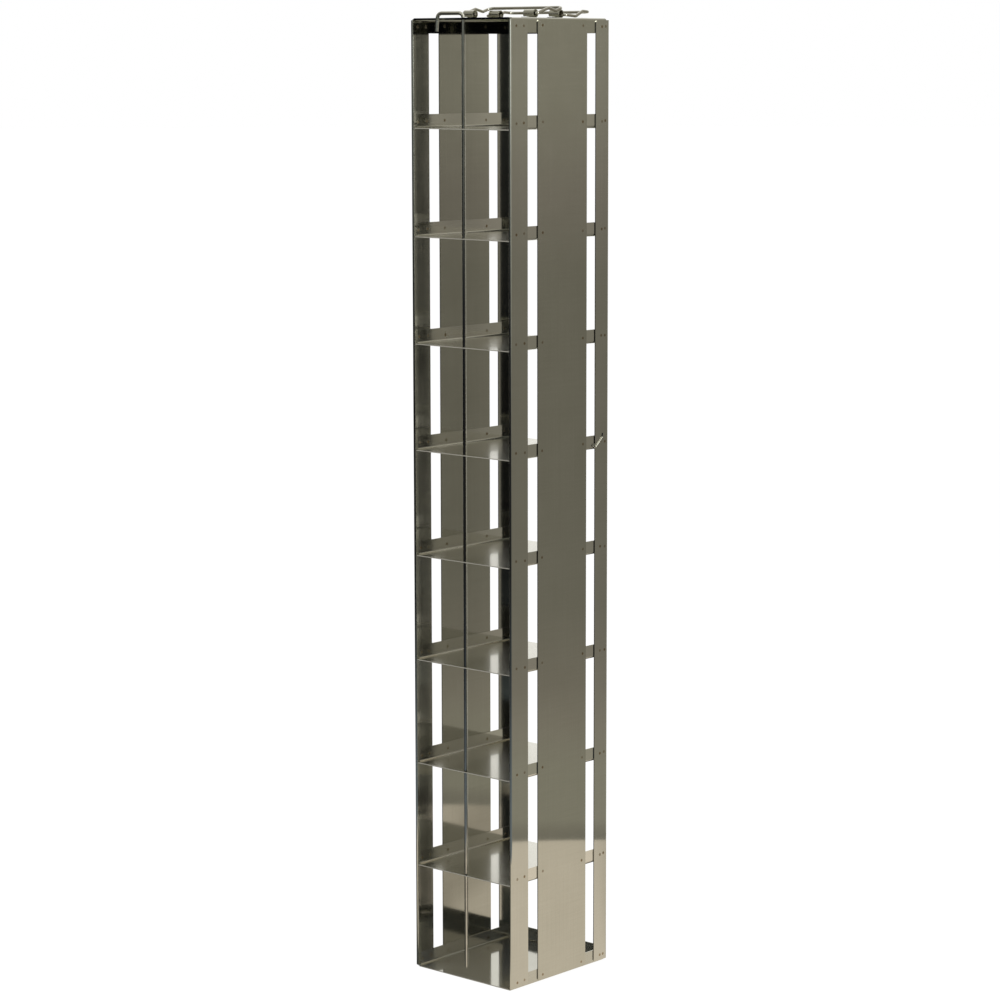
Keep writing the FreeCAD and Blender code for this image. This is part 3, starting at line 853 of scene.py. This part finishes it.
@dataclass
class MirrorTent:
    """A drum of cloth round the rack and a warm table under it, which only its metal sees.

    The cloth is dark where the camera's room is, grey beside the rack and white behind it. The
    cloths' stops are heights in metres with a colour. The stretches' stops are bearings, as a
    share of a full turn that is one half towards +X and grows towards +Y, with how much of a
    cloth hangs there.

    Attributes:
        radius: The drum's radius.
        height: The drum's height.
        facets: Facets round the drum and the table.
        table_height: The table's height over the floor.
        lit_power: Strength of the lit cloths.
        beside: The grey cloth.
        before: The dark cloth.
        behind: The white cloth's colour.
        bank: The bright cloth to the right, which draws a line down the right strip's hem.
        wing: The faint lit cloth high up at the front, which gleams in the lock rod.
        clearance: How far the veil is lifted by height, fully where it is white.
        beside_stretch: Where the grey cloth hangs.
        behind_stretch: Where the white cloth hangs.
        veil_and_shade_stretch: How much the veil lets through, with a painted shade just behind the
            rack.
        bank_stretch: Where the bank stands.
        wing_stretch: Where the wing stands.
        table_and_shadow_stops: The table's colour by bearing, with a painted shadow of the rack
            behind it.
    """

    radius: float = 0.624
    height: float = 2.3
    facets: int = 96
    table_height: float = 0.0002
    lit_power: float = 3.9
    beside: tuple[tuple[float, str], ...] = (
        (0.0, "#8c897f"), (0.012, "#8e8a7f"), (0.026, "#9d9a8d"), (0.09, "#9c998c"),
        (0.15, "#969186"), (0.2, "#8d887e"), (0.31, "#848177"), (0.45, "#817e74"),
        (0.72, "#827f75"), (0.82, "#8c877e"), (0.94, "#9a978b"), (1.05, "#9e9b8f"),
        (1.4, "#aca89f"))
    before: tuple[tuple[float, str], ...] = (
        (0.0, "#7f8890"), (0.1, "#6d767f"), (0.2, "#4a5056"), (0.36, "#2b2c2d"),
        (0.55, "#242427"), (0.66, "#333437"), (0.8, "#343538"), (0.9, "#2e2f32"),
        (1.04, "#2e2f32"), (1.12, "#8f8d84"), (1.5, "#a3a198"), (1.9, "#c8c6be"))
    behind: str = "#fbfaf6"
    bank: tuple[tuple[float, str], ...] = (
        (0.0, "#000000"), (0.15, "#242524"), (0.45, "#303130"), (0.6, "#585a58"),
        (0.72, "#82847f"), (0.87, "#a8aaa8"), (1.05, "#eef1f0"), (1.6, "#fbfdfc"))
    wing: tuple[tuple[float, str], ...] = (
        (0.0, "#000000"), (0.7, "#000000"), (0.86, "#4e524f"), (0.98, "#6e726e"),
        (1.2, "#747873"), (1.7, "#6a6d69"))
    # The veil hangs from just above the rack down to a hand's breadth over the table.
    clearance: tuple[tuple[float, str], ...] = (
        (0.0, "#b4b4b4"), (0.12, "#b4b4b4"), (0.28, "#000000"), (1.04, "#000000"),
        (1.12, "#ffffff"))
    beside_stretch: Stops = (
        (0.0, grey(0.3)), (0.05, grey(0.05)), (0.3, grey(0.0)), (0.45, grey(0.0)),
        (0.53, grey(0.35)), (0.6, grey(1.0)), (0.98, grey(1.0)), (1.0, grey(0.3)))
    behind_stretch: Stops = (
        (0.0, grey(0.1)), (0.03, grey(0.0)), (0.7, grey(0.0)), (0.78, grey(1.0)),
        (0.93, grey(1.0)), (1.0, grey(0.1)))
    # The dip just behind the rack, from 0.641 to 0.647, is painted shade on the cloth there.
    veil_and_shade_stretch: Stops = (
        (0.0, grey(0.5)), (0.03, DIM), (0.2, DIM), (0.25, grey(1.0)), (0.634, grey(1.0)),
        (0.641, grey(0.74)), (0.647, grey(0.8)), (0.655, grey(1.06)))
    bank_stretch: Stops = (
        (0.472, grey(0.0)), (0.482, grey(1.0)), (0.528, grey(1.0)), (0.538, grey(0.0)))
    wing_stretch: Stops = (
        (0.215, grey(0.0)), (0.235, grey(0.4)), (0.335, grey(0.4)), (0.35, grey(0.0)),
        (0.385, grey(0.0)), (0.4, grey(0.4)), (0.455, grey(0.4)), (0.47, grey(0.0)))
    # The darker stretch from 0.642 to 0.76, behind the rack, is the rack's painted shadow.
    table_and_shadow_stops: tuple[tuple[float, str], ...] = (
        (0.0, "#4a4b49"), (0.22, "#4a4b49"), (0.3, "#e4dacb"), (0.636, "#e4dacb"),
        (0.642, "#aaa295"), (0.66, "#aaa295"), (0.69, "#cdc4b6"), (0.76, "#cdc4b6"),
        (0.85, "#4a4b49"))

    def build(self) -> None:
        """Stand up the drum and lay the table."""
        self.build_drum()
        self.build_table()

    def build_drum(self) -> None:
        """Stand the drum round the rack, closed at its top."""
        material, tree = new_material("studio_cloth")
        place = add_node(tree, "ShaderNodeTexCoord").outputs["Object"]
        upright = add_node(tree, "ShaderNodeSeparateXYZ", {0: place}).outputs["Z"]
        level = add_node(tree, "ShaderNodeMath", {0: upright, 1: self.height},
                         operation="DIVIDE").outputs[0]
        turn = self.bearing(tree)
        shade = add_node(tree, "ShaderNodeMix", {
            "Factor": 1.0, MIX_A: self.hung(tree, level, turn), MIX_B: self.lit(tree, level, turn)},
            data_type="RGBA", blend_type="ADD").outputs[MIX_RESULT]
        glow = add_node(tree, "ShaderNodeEmission", {"Color": shade, "Strength": 1.0})
        add_node(tree, "ShaderNodeOutputMaterial", {"Surface": glow.outputs[0]})
        drum = bmesh.new()
        rim = bmesh.ops.create_circle(drum, segments=self.facets, radius=self.radius)
        edges = list({edge for vert in rim["verts"] for edge in vert.link_edges})
        raised = bmesh.ops.extrude_edge_only(drum, edges=edges)["geom"]
        top = [item for item in raised if isinstance(item, bmesh.types.BMVert)]
        bmesh.ops.translate(drum, vec=(0.0, 0.0, self.height), verts=top)
        cap = [item for item in raised if isinstance(item, bmesh.types.BMEdge)]
        bmesh.ops.contextual_create(drum, geom=cap)
        self.show_to_mirrors(new_object(drum, "studio_tent", material))

    def build_table(self) -> None:
        """Lay the table just over the floor."""
        material, tree = new_material("warm_table")
        # The table's colours hold the rack's painted shadow behind it.
        stops = [(bearing, linear(code)) for bearing, code in self.table_and_shadow_stops]
        warm = add_node(tree, "ShaderNodeValToRGB", {"Fac": self.bearing(tree)}, stops=stops)
        glow = add_node(tree, "ShaderNodeEmission", {
            "Color": warm.outputs["Color"], "Strength": 1.0})
        add_node(tree, "ShaderNodeOutputMaterial", {"Surface": glow.outputs[0]})
        table = bmesh.new()
        bmesh.ops.create_circle(table, cap_ends=True, segments=self.facets,
                                radius=self.radius)
        bmesh.ops.translate(table, vec=(0.0, 0.0, self.table_height), verts=table.verts)
        self.show_to_mirrors(new_object(table, "studio_table", material))

    def by_height(self, cloth: Sequence[tuple[float, str]]) -> list[tuple[float, Colour]]:
        """Turn a cloth's heights and hex colours into a ramp's stops."""
        return [(height / self.height, linear(code)) for height, code in cloth]

    @staticmethod
    def bearing(tree: bpy.types.NodeTree) -> bpy.types.NodeSocket:
        """Give the bearing round the rack's upright axis.

        Args:
            tree: The material's node tree.

        Returns:
            The share of a full turn, which is one half towards +X and grows towards +Y.
        """
        place = add_node(tree, "ShaderNodeTexCoord").outputs["Object"]
        spot = add_node(tree, "ShaderNodeSeparateXYZ", {0: place})
        angle = add_node(tree, "ShaderNodeMath", {0: spot.outputs["Y"], 1: spot.outputs["X"]},
                         operation="ARCTAN2").outputs[0]
        return add_node(tree, "ShaderNodeMapRange", {
            "Value": angle, "From Min": -math.pi, "From Max": math.pi}).outputs[0]

    def hung(
        self,
        tree: bpy.types.NodeTree,
        level: bpy.types.NodeSocket,
        turn: bpy.types.NodeSocket,
    ) -> bpy.types.NodeSocket:
        """Hang the dark, the grey and the white cloth, and the veil before them.

        Args:
            tree: The drum's node tree.
            level: The height as a share of the drum's.
            turn: The bearing as a share of a turn.

        Returns:
            The cloths' colour.
        """
        beside, before, clearance = (
            add_node(tree, "ShaderNodeValToRGB", {"Fac": level},
                     stops=self.by_height(cloth)).outputs["Color"]
            for cloth in (self.beside, self.before, self.clearance))
        sideways, backwards, veil = (
            add_node(tree, "ShaderNodeValToRGB", {"Fac": turn}, stops=stretch).outputs["Color"]
            for stretch in (self.beside_stretch, self.behind_stretch, self.veil_and_shade_stretch))
        # The veil brings its painted shade behind the rack.
        veil = add_node(tree, "ShaderNodeMix", {
            "Factor": clearance, MIX_A: veil, MIX_B: grey(1.0)},
            data_type="RGBA").outputs[MIX_RESULT]
        shade = add_node(tree, "ShaderNodeMix", {
            "Factor": sideways, MIX_A: before, MIX_B: beside},
            data_type="RGBA").outputs[MIX_RESULT]
        shade = add_node(tree, "ShaderNodeMix", {"Factor": 1.0, MIX_A: shade, MIX_B: veil},
                         data_type="RGBA", blend_type="MULTIPLY").outputs[MIX_RESULT]
        return add_node(tree, "ShaderNodeMix", {
            "Factor": backwards, MIX_A: shade, MIX_B: linear(self.behind)},
            data_type="RGBA").outputs[MIX_RESULT]

    def lit(
        self,
        tree: bpy.types.NodeTree,
        level: bpy.types.NodeSocket,
        turn: bpy.types.NodeSocket,
    ) -> bpy.types.NodeSocket:
        """Stand up the lit cloths, the bank and the wing.

        Args:
            tree: The drum's node tree.
            level: The height as a share of the drum's.
            turn: The bearing as a share of a turn.

        Returns:
            The light that they add to the other cloths.
        """
        shade = grey(0.0)
        for cloth, stretch in ((self.wing, self.wing_stretch), (self.bank, self.bank_stretch)):
            colour = add_node(tree, "ShaderNodeValToRGB", {"Fac": level},
                              stops=self.by_height(cloth)).outputs["Color"]
            share = add_node(tree, "ShaderNodeValToRGB", {"Fac": turn},
                             stops=stretch).outputs["Color"]
            shade = add_node(tree, "ShaderNodeMix", {
                "Factor": share, MIX_A: shade, MIX_B: colour},
                data_type="RGBA").outputs[MIX_RESULT]
        return add_node(tree, "ShaderNodeVectorMath", {0: shade, "Scale": self.lit_power},
                        operation="SCALE").outputs[0]

    @staticmethod
    def show_to_mirrors(thing: bpy.types.Object) -> None:
        """Hide a stage object from camera, diffuse, shadow and transmission rays, so mirror rays
        meet it.

        Args:
            thing: The drum or the table.
        """
        thing.visible_camera = False
        thing.visible_diffuse = False
        thing.visible_shadow = False
        thing.visible_transmission = False


@dataclass(frozen=True)
class SoftBox:
    """A square soft light that faces the middle of the rack and doesn't show in its metal.

    Attributes:
        name: The lamp's name.
        place: Where it hangs.
        power: Its power in watts.
        size: Its side.
        target: What it faces.
    """

    name: str
    place: tuple[float, float, float]
    power: float
    size: float = 1.6
    target: tuple[float, float, float] = (0.0, 0.0, 0.5)

    def build(self) -> None:
        """Hang the lamp."""
        lamp = bpy.data.lights.new(self.name, "AREA")
        lamp.shape = "SQUARE"
        lamp.size = self.size
        lamp.energy = self.power
        thing = bpy.data.objects.new(self.name, lamp)
        thing.location = self.place
        thing.rotation_mode = "QUATERNION"
        aim = Vector(self.target) - Vector(self.place)
        thing.rotation_quaternion = aim.to_track_quat("-Z", "Y")
        thing.visible_glossy = False
        bpy.context.scene.collection.objects.link(thing)


@dataclass(frozen=True)
class PhotographEye:
    """The camera, where the photograph was taken from.

    Attributes:
        place: Where it stands, in millimetres.
        yaw: Its turn to the left from +Y, in degrees.
        pitch: Its lean downwards, in degrees.
        roll: Its tilt to the side, in degrees.
        focal: Its focal length, in millimetres of a sensor 36 mm wide.
    """

    place: tuple[float, float, float] = (2158.77, -2423.5, 986.78)
    yaw: float = 41.9034
    pitch: float = 8.2761
    roll: float = -0.1117
    focal: float = 109.66

    def build(self) -> None:
        """Build the camera and make it the scene's."""
        yaw = math.radians(self.yaw)
        pitch = math.radians(self.pitch)
        roll = math.radians(self.roll)
        ahead = Vector((-math.sin(yaw) * math.cos(pitch), math.cos(yaw) * math.cos(pitch),
                        -math.sin(pitch)))
        right = Vector((math.cos(yaw), math.sin(yaw), 0.0))
        above = right.cross(ahead)
        across = right * math.cos(roll) + above * math.sin(roll)
        upward = above * math.cos(roll) - right * math.sin(roll)
        data = bpy.data.cameras.new("photograph_eye")
        data.sensor_fit = "HORIZONTAL"
        data.sensor_width = 36.0
        data.lens = self.focal
        data.clip_start = 0.05
        data.clip_end = 200.0
        camera = bpy.data.objects.new("photograph_eye", data)
        turn = Matrix((across, upward, -ahead)).transposed().to_4x4()
        camera.matrix_world = Matrix.Translation(Vector(self.place) * MM) @ turn
        bpy.context.scene.collection.objects.link(camera)
        bpy.context.scene.camera = camera


def main() -> None:
    """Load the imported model, dress it, add its weld marks and set up the studio."""
    logging.basicConfig(level=logging.INFO, format="%(name)s: %(message)s")
    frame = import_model()
    bpy.context.scene.view_settings.view_transform = "Standard"
    sheets = SheetFrame()
    sheets.dress(frame["nodes"])
    sheets.build()
    Hardware().dress(frame["nodes"])
    Room().build()
    MirrorTent().build()
    SoftBox("soft_box_left", place=(-2.2, -2.6, 2.4), power=60.0).build()
    SoftBox("soft_box_right", place=(2.6, -1.0, 2.6), power=40.0).build()
    PhotographEye().build()


if __name__ == "__main__":
    main()
